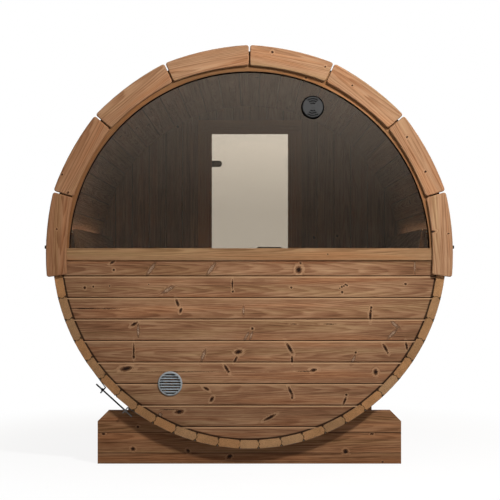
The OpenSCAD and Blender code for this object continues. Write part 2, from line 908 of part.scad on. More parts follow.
// Casing boards round the doorway on one face of the wall
module casing(edge_x, y0, y1) {
    edge_z = head_top_z + edge_x - jamb_out_x;
    out_x = edge_x + casing_w;
    intersection() {
        rod_y(inner_r, y0 - over, y1 + over);
        union() {
            mirrored_x() box([edge_x, y0, threshold_low_z], [out_x, y1, edge_z - seat]);
            box([-out_x, y0, edge_z], [out_x, y1, edge_z + casing_w]);
        }
    }
}

module door_casing() {
    color(pale_wood) at_barrel() {
        casing(jamb_out_x + seat, jamb_inner_y, wall_in_y - seat);
        casing(leaf_out_x + seat, wall_out_y + seat, wall_out_y + seat + casing_t);
    }
}

// ---------- door ----------

module clip_bolts(r, y0, y1) {
    for (z = hinge_zs) for (side = [-0.5, 0.5])
        translate([-clip_edge_x + clip_l / 2 + side * clip_bolt_spacing, 0, z])
            rod_y(r, y0, y1);
}

module handle_posts(r, y0, y1) {
    for (side = [-1, 1])
        translate([handle_x + side * (handle_l / 2 - handle_post_in), 0,
            handle_top_z - handle_h / 2]) rod_y(r, y0, y1);
}

module door_glass() {
    color("dimgray", 0.5) at_barrel() difference() {
        box([-door_edge_x, door_in_y, door_low_z], [door_edge_x, door_out_y, door_top_z]);
        clip_bolts(clip_bolt_r + bolt_play, door_in_y - over, door_out_y + over);
        handle_posts(handle_post_r + bolt_play, door_in_y - over, door_out_y + over);
    }
}

// Plate with a round end that lies on the door glass
module clip_plate(y0, y1) {
    half = clip_h / 2;
    box([-clip_edge_x, y0, -half], [-clip_edge_x + clip_l - half, y1, half]);
    translate([-clip_edge_x + clip_l - half, 0, 0]) rod_y(half, y0, y1);
}

module door_hinge_clips() {
    knuckle = clip_h / 2 - knuckle_r;
    out_y = door_out_y + clip_t;
    color("dimgray") at_barrel() {
        for (z = hinge_zs) translate([0, 0, z]) difference() {
            union() {
                clip_plate(door_in_y - clip_t, door_in_y);
                clip_plate(door_out_y, out_y);
                translate([pin_x, pin_y, -knuckle]) cylinder(r = knuckle_r, h = 2 * knuckle);
                box([pin_x, out_y - clip_t, -knuckle], [-clip_edge_x + over, out_y, knuckle]);
            }
            translate([pin_x, pin_y, -knuckle - over])
                cylinder(r = pin_r + pin_play, h = 2 * (knuckle + over));
        }
        clip_bolts(clip_bolt_r, door_in_y - over, door_out_y + over);
    }
}

module door_hinge_plates() {
    knuckle = clip_h / 2 - knuckle_r + knuckle_play;
    half = leaf_h / 2;
    face_y = wall_out_y + seat;
    color("dimgray") at_barrel() for (z = hinge_zs) translate([0, 0, z]) {
        box([-leaf_out_x, face_y, -half], [-leaf_in_x, face_y + leaf_t, half]);
        for (side = [0, 1]) mirror([0, 0, side]) {
            translate([pin_x, pin_y, knuckle]) cylinder(r = knuckle_r, h = half - knuckle);
            box([pin_x - knuckle_r, face_y, knuckle], [pin_x, pin_y, half]);
        }
        translate([pin_x, pin_y, -half]) cylinder(r = pin_r, h = leaf_h);
    }
}

// Bar along X with chamfered ends; y0 is the face nearer the window
module handle_bar(y0) {
    cut = handle_h / 4;
    length = handle_l / 2;
    low_z = handle_top_z - handle_h;
    high_z = handle_top_z;
    translate([handle_x, y0 + handle_d, 0]) rotate([90, 0, 0])
        linear_extrude(height = handle_d) polygon([
            [-length + cut, low_z], [length - cut, low_z], [length, low_z + cut],
            [length, high_z - cut], [length - cut, high_z],
            [-length + cut, high_z], [-length, high_z - cut], [-length, low_z + cut]
        ]);
}

module door_handles() {
    inner_y = door_in_y - handle_stand - handle_d;
    outer_y = door_out_y + handle_stand;
    color("dimgray") at_barrel() {
        handle_bar(inner_y);
        handle_bar(outer_y);
        handle_posts(handle_post_r, inner_y + over, outer_y + over);
    }
}

// ---------- inside ----------

module floor_slats() {
    color(wood) at_barrel() for (i = [0:floor_slats_n - 1])
        translate([-floor_w / 2 + floor_pitch * i, -floor_l / 2, floor_low_z])
            cube([floor_slat_w, floor_l, floor_t]);
}

module floor_joists() {
    reach = floor_l / 2 - timber_w;
    top_z = floor_low_z - seat;
    half_w = floor_w / 2 - joist_end;
    color(dark_wood) at_barrel() for (i = [0:joists_n - 1]) {
        y = -reach + 2 * reach * i / (joists_n - 1);
        intersection() {
            box([-half_w, y - timber_w / 2, -shell_r], [half_w, y + timber_w / 2, top_z]);
            rod_y(inner_r, y - timber_w, y + timber_w);
        }
    }
}

module bench_seat_right() {
    color(wood) at_barrel() for (i = [0:seat_slats_n - 1])
        translate([seat_in_x + seat_pitch * i, -bench_l / 2, seat_low_z])
            cube([seat_slat_w, bench_l, seat_t]);
}

module bench_seat_left() {
    mirror([1, 0, 0]) bench_seat_right();
}

// Face of the backrest brackets at a height, measured towards the middle
function back_face_x(z) =
    back_top_x + back_t / cos(back_lean) - (back_top_z - z) * tan(back_lean);

// Leg, bearer and backrest bracket of one bench support
module bench_support() {
    bearer_low_z = seat_low_z - seat - bearer_h;
    back_low_z = seat_top_z + seat;
    back_high_z = back_top_z - bracket_drop;
    half = timber_w / 2;
    intersection() {
        rod_y(inner_r, -half, half);
        union() {
            box([leg_x, -half, bearer_low_z], [shell_r, half, seat_low_z - seat]);
            box([leg_x, -half, -shell_r], [leg_x + timber_w, half, bearer_low_z - seat]);
            along_y(bracket_t) polygon([
                [back_face_x(back_low_z) + seat, back_low_z], [shell_r, back_low_z],
                [shell_r, back_high_z], [back_face_x(back_high_z) + seat, back_high_z]
            ]);
        }
    }
}

module bench_supports() {
    reach = bench_l / 2 - support_end;
    color(dark_wood) at_barrel() mirrored_x() for (i = [0:supports_n - 1])
        translate([0, -reach + 2 * reach * i / (supports_n - 1), 0]) bench_support();
}

module backrest_right() {
    color(wood) at_barrel() translate([back_top_x, 0, back_top_z]) rotate([0, back_lean, 0])
        for (i = [0:back_slats_n - 1])
            translate([0, -bench_l / 2, -back_pitch * i - back_slat_w])
                cube([back_t, bench_l, back_slat_w]);
}

module backrest_left() {
    mirror([1, 0, 0]) backrest_right();
}

module light_strips() {
    color("white") at_barrel() mirrored_x()
        translate([back_top_x, 0, back_top_z]) rotate([0, back_lean, 0])
            translate([back_t + seat, -bench_l / 2, -light_h])
                cube([light_d, bench_l, light_h]);
}

// ---------- bands and cradles ----------

// Disc of radius r with straight sides that run out to the lugs' feet
module band_disc(r) {
    foot_r = r + band_lift;
    start_r = r - band_bite;
    start_turn = lug_turn + acos(start_r / foot_r);
    foot = foot_r * [sin(lug_turn), cos(lug_turn)];
    start = start_r * [sin(start_turn), cos(start_turn)];
    circle(r);
    polygon([foot, start, [-start[0], start[1]], [-foot[0], foot[1]]]);
}

// One end of a band, bent up into a lug with the rod and nut through it
module band_lug() {
    foot_z = (band_in_r + band_lift) * cos(lug_turn);
    out_x = (lug_span + lug_t) / 2;
    box([out_x - lug_t, -band_w / 2, foot_z], [out_x, band_w / 2, shell_r + lug_h]);
    translate([out_x, 0, shell_r + rod_up]) rotate([0, 90, 0]) cylinder(r = nut_r, h = nut_h);
}

module band(y) {
    color("silver") at_barrel() translate([0, y, 0]) rotate([0, 90 - tensioner_angle, 0]) {
        along_y(band_w) difference() {
            band_disc(band_in_r + band_t);
            band_disc(band_in_r);
            translate([-lug_span / 2, 0]) square([lug_span, 2 * shell_r]);
        }
        mirrored_x() band_lug();
        translate([-rod_l / 2, 0, shell_r + rod_up]) rotate([0, 90, 0])
            cylinder(r = rod_r, h = rod_l);
    }
}

module rear_band() band(-band_y);
module front_band() band(band_y);

// Three stacked boards, hollowed to carry the barrel
module cradle() {
    half_w = cradle_w / 2;
    mid_z = cradle_low_h + cradle_mid_h;
    top_z = mid_z + cradle_top_h;
    half = cradle_t / 2;
    difference() {
        intersection() {
            union() {
                box([-half_w, -half, 0], [half_w, half, cradle_low_h - seat]);
                box([-half_w, -half, cradle_low_h], [half_w, half, mid_z - seat]);
                box([-half_w, -half, mid_z], [half_w, half, top_z]);
            }
            along_y(cradle_t + 2 * over) polygon([
                [-half_w, 0], [half_w, 0], [half_w, top_z - cradle_chamfer],
                [half_w - cradle_chamfer, top_z], [-half_w + cradle_chamfer, top_z],
                [-half_w, top_z - cradle_chamfer]
            ]);
        }
        at_barrel() rod_y(cradle_r, -cradle_t, cradle_t);
    }
}

module rear_cradle() {
    color(wood) translate([0, -cradle_y, 0]) cradle();
}

module front_cradle() {
    color(wood) translate([0, cradle_y, 0]) cradle();
}

staves_bottom();
stave_group(0);  // staves_lower_right
stave_group(1);  // staves_right
stave_group(2);  // staves_upper_right
stave_group(3);  // staves_top
stave_group(4);  // staves_upper_left
stave_group(5);  // staves_left
stave_group(6);  // staves_lower_left
rear_fascia_right();
rear_fascia_left();
front_fascia_right();
front_fascia_left();
roof_underlay();
roof_shingles_right();
roof_shingles_left();
roof_ridge();
eaves_flashing();
rear_wall_boards();
rear_sill();
rear_glass_frame();
rear_glass();
glass_seal();
glass_vent();
wall_vent();
front_wall_left();
front_wall_right();
front_wall_over_door();
front_wall_under_door();
door_frame();
door_casing();
door_glass();
door_hinge_clips();
door_hinge_plates();
door_handles();
floor_slats();
floor_joists();
bench_seat_left();
bench_seat_right();
bench_supports();
backrest_left();
backrest_right();
light_strips();
rear_band();
front_band();
rear_cradle();
front_cradle();
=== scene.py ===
import math

import bpy
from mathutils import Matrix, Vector


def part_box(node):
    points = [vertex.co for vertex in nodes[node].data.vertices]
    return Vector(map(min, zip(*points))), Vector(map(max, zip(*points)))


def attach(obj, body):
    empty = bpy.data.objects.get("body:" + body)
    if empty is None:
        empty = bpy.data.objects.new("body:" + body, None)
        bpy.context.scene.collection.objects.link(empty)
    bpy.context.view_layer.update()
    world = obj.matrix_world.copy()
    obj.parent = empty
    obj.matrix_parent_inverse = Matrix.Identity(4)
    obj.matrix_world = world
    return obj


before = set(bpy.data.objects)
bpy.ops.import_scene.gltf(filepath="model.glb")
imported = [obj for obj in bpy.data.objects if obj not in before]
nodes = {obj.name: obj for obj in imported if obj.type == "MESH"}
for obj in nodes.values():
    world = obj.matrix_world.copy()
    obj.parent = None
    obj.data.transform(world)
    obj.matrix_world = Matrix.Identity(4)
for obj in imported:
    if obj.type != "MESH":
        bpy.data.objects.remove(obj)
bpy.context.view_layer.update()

# The barrel's own measures, in metres, that patterns and pieces are laid out by
barrel = {
    "axisUp": 1.081,
    "endAt": 0.9,
    "staveAngle": math.radians(360 - 5.43) / 53,
    "closingAngle": math.radians(5.43),
    "staveRadius": 0.9743,
    "bead": 0.012,
    "beadSunk": 0.007,
}


class Wire:
    # One value on its way through a material; sums on it add Math nodes
    def __init__(self, tree, socket=None):
        self.tree = tree
        self.socket = socket

    # Any other node: its settings first, then the values or links of its sockets
    def node(self, kind, sockets=None, out=0, stops=None, **settings):
        made = self.tree.nodes.new("ShaderNode" + kind)
        for name, value in settings.items():
            setattr(made, name, value)
        if stops:
            band = made.color_ramp.elements
            band[0].position, band[1].position = stops[0][0], stops[-1][0]
            band[0].color, band[1].color = (*stops[0][1], 1), (*stops[-1][1], 1)
            for place, colour in stops[1:-1]:
                band.new(place).color = (*colour, 1)
        for key, value in (sockets or {}).items():
            if isinstance(value, Wire):
                self.tree.links.new(value.socket, made.inputs[key])
            else:
                made.inputs[key].default_value = value
        return Wire(self.tree, made.outputs[out] if made.outputs else None)

    def maths(self, operation, first, second=0.0):
        return self.node("Math", {0: first, 1: second}, operation=operation)

    def __add__(self, other):
        return self.maths("ADD", self, other)

    def __radd__(self, other):
        return self.maths("ADD", other, self)

    def __sub__(self, other):
        return self.maths("SUBTRACT", self, other)

    def __rsub__(self, other):
        return self.maths("SUBTRACT", other, self)

    def __mul__(self, other):
        return self.maths("MULTIPLY", self, other)

    def __rmul__(self, other):
        return self.maths("MULTIPLY", other, self)

    def __truediv__(self, other):
        return self.maths("DIVIDE", self, other)

    def __lt__(self, other):
        return self.maths("LESS_THAN", self, other)

    def __gt__(self, other):
        return self.maths("GREATER_THAN", self, other)

    def __abs__(self):
        return self.maths("ABSOLUTE", self)


def newFinish(name):
    finish = bpy.data.materials.new(name)
    finish.use_nodes = True
    finish.node_tree.nodes.clear()
    return finish, Wire(finish.node_tree)


def split(vector):
    return [vector.node("SeparateXYZ", {0: vector}, out=axis) for axis in range(3)]


def join(x, y, z):
    maker = next(w for w in (x, y, z) if isinstance(w, Wire))
    return maker.node("CombineXYZ", {0: x, 1: y, 2: z})


def stretch(vector, x, y, z):
    return vector.node("VectorMath", {0: vector, 1: (x, y, z)}, operation="MULTIPLY")


def noise(vector, detail=2.0, rough=0.5, out=0):
    return vector.node("TexNoise", {"Vector": vector, "Scale": 1.0, "Detail": detail,
                                    "Roughness": rough}, out=out)


def ease(value, low, high, start=0.0, end=1.0):
    return value.node("MapRange", {"Value": value, "From Min": low, "From Max": high,
                                   "To Min": start, "To Max": end},
                      interpolation_type="SMOOTHSTEP")


def span(a, b):
    total = a * a + b * b
    return total.maths("SQRT", total)


def floorOf(value):
    return value.maths("FLOOR", value)


def larger(first, second):
    return first.maths("MAXIMUM", first, second)


def smaller(first, second):
    return first.maths("MINIMUM", first, second)


def chances(value):
    return split(value.node("TexWhiteNoise", {"W": value}, out="Color",
                            noise_dimensions="1D"))


def blend(first, second, factor, way="MIX"):
    maker = next(w for w in (factor, first, second) if isinstance(w, Wire))
    ends = [w if isinstance(w, Wire) else (*w, 1) for w in (first, second)]
    return maker.node("Mix", {"Factor": factor, 6: ends[0], 7: ends[1]}, out=2,
                      data_type="RGBA", blend_type=way)


def dim(colour, factor):
    maker = colour if isinstance(colour, Wire) else factor
    return maker.node("VectorMath", {0: colour, "Scale": factor}, operation="SCALE")


def bump(height, distance, strength=1.0):
    return height.node("Bump", {"Height": height, "Distance": distance,
                                "Strength": strength})


def surface(start, sockets):
    start.node("OutputMaterial", {"Surface": start.node("BsdfPrincipled", sockets)})


def paint(finish, *names):
    for name in names:
        for slot in nodes[name].material_slots:
            slot.material = finish


# Wood: where a board's grain runs is worked out first, then one grain for all boards
woods = {
    "wall": {"dark": (0.078, 0.030, 0.013), "middle": (0.208, 0.103, 0.054),
             "light": (0.38, 0.235, 0.132), "end": (0.27, 0.155, 0.078),
             "ring": 0.0046, "rings": 0.2, "streaks": 0.62, "tones": 0.8, "tint": 0.2,
             "knotRate": 2.6, "knotSize": 0.009, "width": 0.1075, "joint": 0.85},
    "inner": {"dark": (0.070, 0.027, 0.011), "middle": (0.19, 0.088, 0.043),
              "light": (0.33, 0.18, 0.095), "end": (0.25, 0.13, 0.062),
              "ring": 0.0046, "rings": 0.2, "streaks": 0.62, "tones": 0.8, "tint": 0.3,
              "knotRate": 1.1, "knotSize": 0.006, "width": 0.1075, "joint": 0.85},
    "stave": {"dark": (0.078, 0.030, 0.013), "middle": (0.2, 0.097, 0.05),
              "light": (0.36, 0.215, 0.12), "end": (0.29, 0.17, 0.085),
              "ring": 0.0042, "rings": 0.22, "streaks": 0.8, "tones": 0.5, "tint": 0.3,
              "knotRate": 2.4, "knotSize": 0.010, "width": 0.1137, "joint": 0.85},
    "fascia": {"dark": (0.165, 0.070, 0.032), "middle": (0.295, 0.160, 0.086),
               "light": (0.41, 0.25, 0.145), "end": (0.24, 0.12, 0.06),
               "ring": 0.0050, "rings": 0.36, "streaks": 0.58, "tones": 0.5,
               "tint": 0.1, "knotRate": 1.6, "knotSize": 0.004, "width": 0.103,
               "joint": 0.0},
    "sill": {"dark": (0.15, 0.075, 0.033), "middle": (0.252, 0.138, 0.068),
             "light": (0.36, 0.22, 0.115), "end": (0.25, 0.135, 0.065),
             "ring": 0.0030, "rings": 0.35, "streaks": 0.8, "tones": 0.6, "tint": 0.1,
             "knotRate": 0.6, "knotSize": 0.003, "width": 0.06, "joint": 0.0},
    "frame": {"dark": (0.1, 0.043, 0.017), "middle": (0.2, 0.1, 0.044),
              "light": (0.29, 0.16, 0.078), "end": (0.22, 0.115, 0.055),
              "ring": 0.0035, "rings": 0.3, "streaks": 0.8, "tones": 0.5, "tint": 0.1,
              "knotRate": 0.6, "knotSize": 0.004, "width": 0.05, "joint": 0.0},
    "cradle": {"dark": (0.062, 0.025, 0.010), "middle": (0.183, 0.086, 0.04),
               "light": (0.31, 0.165, 0.085), "end": (0.2, 0.11, 0.053),
               "ring": 0.0055, "rings": 0.25, "streaks": 1.0, "tones": 0.7,
               "tint": 0.12, "knotRate": 2.2, "knotSize": 0.008, "width": 0.106,
               "joint": 0.8},
    "slat": {"dark": (0.11, 0.049, 0.023), "middle": (0.225, 0.115, 0.058),
             "light": (0.345, 0.198, 0.11), "end": (0.26, 0.148, 0.08),
             "ring": 0.0045, "rings": 0.3, "streaks": 0.8, "tones": 0.5, "tint": 0.14,
             "knotRate": 0.5, "knotSize": 0.006, "width": 0.09, "joint": 0.0},
    # The backrests' wood is the slats' wood made darker: painted shade for the
    # backrests' shaded faces
    "backrest": {"dark": (0.062, 0.026, 0.012), "middle": (0.128, 0.062, 0.03),
                 "light": (0.2, 0.11, 0.06), "end": (0.15, 0.08, 0.043),
                 "ring": 0.0045, "rings": 0.3, "streaks": 0.8, "tones": 0.5,
                 "tint": 0.14, "knotRate": 0.5, "knotSize": 0.005, "width": 0.09,
                 "joint": 0.0},
    "doorway": {"dark": (0.15, 0.055, 0.02), "middle": (0.31, 0.13, 0.052),
                "light": (0.41, 0.2, 0.09), "end": (0.3, 0.135, 0.06),
                "ring": 0.0035, "rings": 0.3, "streaks": 0.8, "tones": 0.5, "tint": 0.1,
                "knotRate": 0.6, "knotSize": 0.004, "width": 0.05, "joint": 0.0},
    "timber": {"dark": (0.12, 0.057, 0.027), "middle": (0.22, 0.115, 0.06),
               "light": (0.325, 0.19, 0.105), "end": (0.25, 0.143, 0.075),
               "ring": 0.005, "rings": 0.3, "streaks": 0.9, "tones": 0.5, "tint": 0.12,
               "knotRate": 1.2, "knotSize": 0.007, "width": 0.07, "joint": 0.0},
}


# A face is end grain where it looks this squarely along the board; past 1, none is
endOn = 0.8
neverEnd = 2.0

# Painted shade: a stave end's dark seam widens towards its inner and outer corners,
# where the chamfers' notches lie in shadow
staveCornerShade = {"from": 0.010, "to": 0.021, "dark": 0.006}


# Sideways place of a stave, counted round the barrel from the closing stave's edge
def staveGrain(x, y, z, facing):
    up = z - barrel["axisUp"]
    turn = x.maths("ARCTAN2", x, up * -1.0) + (2 * math.pi + barrel["closingAngle"] / 2)
    turn = turn.maths("MODULO", turn, 2 * math.pi)
    number = (turn - barrel["closingAngle"]) / barrel["staveAngle"]
    board = floorOf(number)
    width = barrel["staveAngle"] * barrel["staveRadius"]
    depth = span(x, up) - barrel["staveRadius"]
    past = (number - floorOf(number + 0.5)) * width
    ball = larger(barrel["bead"] ** 2 - depth * depth, 0.0)
    swell = larger(ball.maths("SQRT", ball) - barrel["beadSunk"], 0.0)
    # Painted shade in the corner notches, on end faces only
    corner = ease(abs(depth), staveCornerShade["from"], staveCornerShade["to"], 0.0,
                  staveCornerShade["dark"]) * (abs(facing[1]) > endOn)
    return {"along": y, "across": (number - board - 0.5) * width, "depth": depth,
            "board": board, "end": abs(facing[1]) > endOn,
            "joint": abs(past - swell) - corner}


# The rear wall's boards, counted down from the second, and a painted shadow at the rim;
# painted shade darkens the boards towards the rim, and tones are the boards that are
# paler or deeper than the rest
rearBoards = {"firstJoint": 0.9585, "pitch": 0.1091, "half": 0.0545, "faceAt": 0.892,
              "rim": 0.9505, "rimShadow": (0.0, 0.012), "rimDark": 0.004,
              "fade": (0.55, 0.95), "rimShade": 0.84,
              "tones": {1: 1.08, 3: 1.16, 4: 1.12, 6: 0.93}}


def rearBoardGrain(x, y, z, facing):
    rows = (rearBoards["firstJoint"] - z) / rearBoards["pitch"]
    board = floorOf(rows)
    across = (board - rows + 0.5) * rearBoards["pitch"]
    out = span(x, z - barrel["axisUp"])
    # Painted shadow along the rim, where the boards meet the stave ring
    paintedRimShadow = ease(rearBoards["rim"] - out, *rearBoards["rimShadow"], 0.0,
                rearBoards["rimDark"])
    # Painted shade: the boards grow darker towards the rim
    shade = ease(out, *rearBoards["fade"], 1.0, rearBoards["rimShade"])
    for row, tone in rearBoards["tones"].items():
        shade = shade + (abs(board - row) < 0.5) * (tone - 1.0)
    return {"along": x, "across": across, "depth": y + rearBoards["faceAt"],
            "board": board, "end": abs(facing[0]) > endOn,
            # The joints also carry the painted shadow at the rim
            "joint": smaller(rearBoards["half"] - abs(across), paintedRimShadow),
            "lip": rearBoards["half"] - across, "shade": shade}


frontBoards = {"pitch": 0.1075, "half": 0.0537, "depthFrom": 0.85}


def frontBoardGrain(x, y, z, facing):
    rows = x / frontBoards["pitch"]
    board = floorOf(rows)
    across = (rows - board - 0.5) * frontBoards["pitch"]
    return {"along": z, "across": across, "depth": y - frontBoards["depthFrom"],
            "board": board, "end": abs(facing[2]) > endOn,
            "joint": frontBoards["half"] - abs(across)}


# Blocks of the fascia, with painted shade that darkens and reddens them towards the
# lower left, away from the light
fascia = {"up": 1.093, "radius": 0.9755, "angle": math.radians(24.5), "faceAt": 0.92,
          "shade": (-4.0, -0.2), "shaded": 0.84, "red": (-4.0, -1.4), "endOn": 0.85}


def fasciaGrain(x, y, z, facing):
    side = (y > 0.0) * -2.0 + 1.0
    x = x * side
    up = z - fascia["up"]
    turn = x.maths("ARCTAN2", x, up)
    board = floorOf(turn / fascia["angle"])
    middle = (board + 0.5) * fascia["angle"]
    sine, cosine = turn.maths("SINE", middle), turn.maths("COSINE", middle)
    along = x * cosine - up * sine
    across = x * sine + up * cosine - fascia["radius"]
    ends = abs(facing[0] * cosine * side - facing[2] * sine)
    return {"along": along, "across": across, "depth": fascia["faceAt"] - abs(y),
            "board": board + 7.0, "end": ends > fascia["endOn"], "joint": None,
            "shade": ease(board, *fascia["shade"], fascia["shaded"], 1.0),
            "red": ease(board, *fascia["red"], 1.0, 0.0)}


sillMiddle = 1.069


def sillGrain(x, y, z, facing):
    return {"along": x, "across": z - sillMiddle, "depth": y + barrel["endAt"],
            "board": (z > 0.0) + 3.0, "end": abs(facing[0]) > endOn, "joint": None}


# Curved pieces of the window frame, with painted light and shade: paler on the right,
# where the light falls, and darker and redder on the left
windowFrame = {"radius": 0.93, "firstJoint": math.radians(1.4),
               "angle": math.radians(45), "shade": (0.2, 2.7), "pale": 1.18,
               "deep": 0.88, "red": (1.8, 2.9)}


def frameGrain(x, y, z, facing):
    up = z - barrel["axisUp"]
    turn = x.maths("ARCTAN2", up, x)
    board = floorOf((turn - windowFrame["firstJoint"]) / windowFrame["angle"])
    return {"along": turn * windowFrame["radius"],
            "across": span(x, up) - windowFrame["radius"],
            "depth": y + barrel["endAt"], "board": board + 20.0,
            "end": abs(facing[1]) > neverEnd, "joint": None,
            "shade": ease(turn, *windowFrame["shade"], windowFrame["pale"],
                          windowFrame["deep"]),
            "red": ease(turn, *windowFrame["red"])}


# Heights of the seams between a cradle's boards, and the steps between their middles
cradle = {"lowSeam": 0.0545, "highSeam": 0.1605, "lowMiddle": 0.027, "lowStep": 0.0803,
          "highStep": 0.108, "faceAt": 0.84}


def cradleGrain(x, y, z, facing):
    low, high = z > cradle["lowSeam"], z > cradle["highSeam"]
    across = z - low * cradle["lowStep"] - high * cradle["highStep"]
    near = smaller(abs(z - cradle["lowSeam"]), abs(z - cradle["highSeam"]))
    return {"along": x, "across": across - cradle["lowMiddle"],
            "depth": cradle["faceAt"] - abs(y),
            "board": low + high + (y > 0.0) * 5.0 + 31.0,
            "end": abs(facing[0]) > endOn, "joint": near}


# Slats of the floor, the seats and the backrests, and the way that each set is laid
slats = {
    "floor": {"first": -0.4195, "pitch": 0.105, "laid": "across"},
    "seat": {"first": 0.428, "pitch": 0.089, "laid": "out"},
    "backrest": {"first": 0.766, "pitch": 0.1085, "laid": "up"},
}


def slatGrain(rowsOf):
    first, pitch, laid = rowsOf["first"], rowsOf["pitch"], rowsOf["laid"]

    def grain(x, y, z, facing):
        here = z if laid == "up" else abs(x) if laid == "out" else x
        rows = (here - first) / pitch
        board = floorOf(rows)
        return {"along": y, "across": (rows - board - 0.5) * pitch,
                "depth": x if laid == "up" else z,
                "board": board + (x > 0.0) * 9.0 + 40.0,
                "end": abs(facing[1]) > endOn, "joint": None}
    return grain


# Underside of the doorway's head and top of its threshold; past both, grain lies level
doorway = {"head": 1.8605, "threshold": 0.2675, "casingAt": 0.85}


def doorGrain(x, y, z, facing):
    level = larger(z > doorway["head"], z < doorway["threshold"])
    along = x * level + z * (1.0 - level)
    across = z * level + x * (1.0 - level)
    ends = abs(facing[0]) * level + abs(facing[2]) * (1.0 - level)
    board = level * 3.0 + (x > 0.0) * (1.0 - level) + (y > doorway["casingAt"]) * 5.0
    return {"along": along, "across": across, "depth": y, "board": board + 60.0,
            "end": ends > endOn, "joint": None}


# Joists lie below this height, and the bench supports stand above it
timbers = {"joistTop": 0.24, "spacing": 0.2}


def timberGrain(x, y, z, facing):
    upright = z > timbers["joistTop"]
    return {"along": z * upright + x * (1.0 - upright),
            "across": x * upright + z * (1.0 - upright), "depth": y,
            "board": floorOf(y / timbers["spacing"]) + 80.0,
            "end": abs(facing[2]) > neverEnd, "joint": None}


# Nearest of the listed knots, in knot radii; each is (x, z, lean, wide, long),
# in mm and degrees
def setKnots(x, z, wander, knots):
    at = join(x, 0.0, z)
    at = at.node("VectorMath", {0: at, 1: wander}, operation="ADD")
    nearest = None
    for atX, atZ, lean, wide, long in knots:
        turned = at.node("Mapping", {"Vector": at,
                                     "Location": (atX / 1000, 0, atZ / 1000),
                                     "Rotation": (0, math.radians(lean), 0),
                                     "Scale": (wide / 1000, 1, long / 1000)},
                         vector_type="TEXTURE")
        far = turned.node("VectorMath", {0: turned}, out="Value", operation="LENGTH")
        nearest = smaller(nearest, far) if nearest else far
    return nearest


# Knots left to chance: at most one in each stretch of a board
def chanceKnots(along, across, board, look):
    rate = look["knotRate"]
    walk = along * rate + board * 7.31
    cell = walk.node("TexVoronoi", {"W": walk, "Scale": 1.0}, out="W",
                     voronoi_dimensions="1D")
    luck = chances(cell * 3.7 + board)
    size = (luck[0] > 0.35) * look["knotSize"] * (luck[1] + 0.45) + 0.0002
    aside = across - (luck[2] - 0.5) * (look["width"] * 0.75)
    ahead = (walk - cell) / rate + aside * (luck[1] - 0.5)
    return span(ahead / (size * 1.25), aside / size)


# How finely each part of the grain is drawn along and across a board
grainScales = {
    "wander": (90, 150, 150), "crumbs": (170, 260, 260), "sway": (1.1, 3, 3),
    "waver": (2.5, 40, 40), "streaks": (1.3, 110, 110), "tones": (2.6, 15, 15),
    "fibres": (14, 620, 620), "lines": (2.2, 230, 230), "warmth": (1.1, 20, 20),
    "freckles": (40, 330, 330),
}
# Tints that multiply the wood's own colour, and a redder tint for painted shade
woodTints = {"red": (1.07, 0.96, 0.88), "yellow": (0.98, 1.03, 0.98),
             "end": (1.0, 0.86, 0.72), "deepRed": (1.06, 0.94, 0.86)}
knotLook = {"heart": (0.012, 0.006, 0.004), "halo": 0.42, "rust": 0.85,
            "branchDark": (0.1, 0.055, 0.033), "branchPale": (0.38, 0.27, 0.19),
            "branch": 0.85, "branchRim": (0.05, 0.024, 0.013), "rim": 0.7}


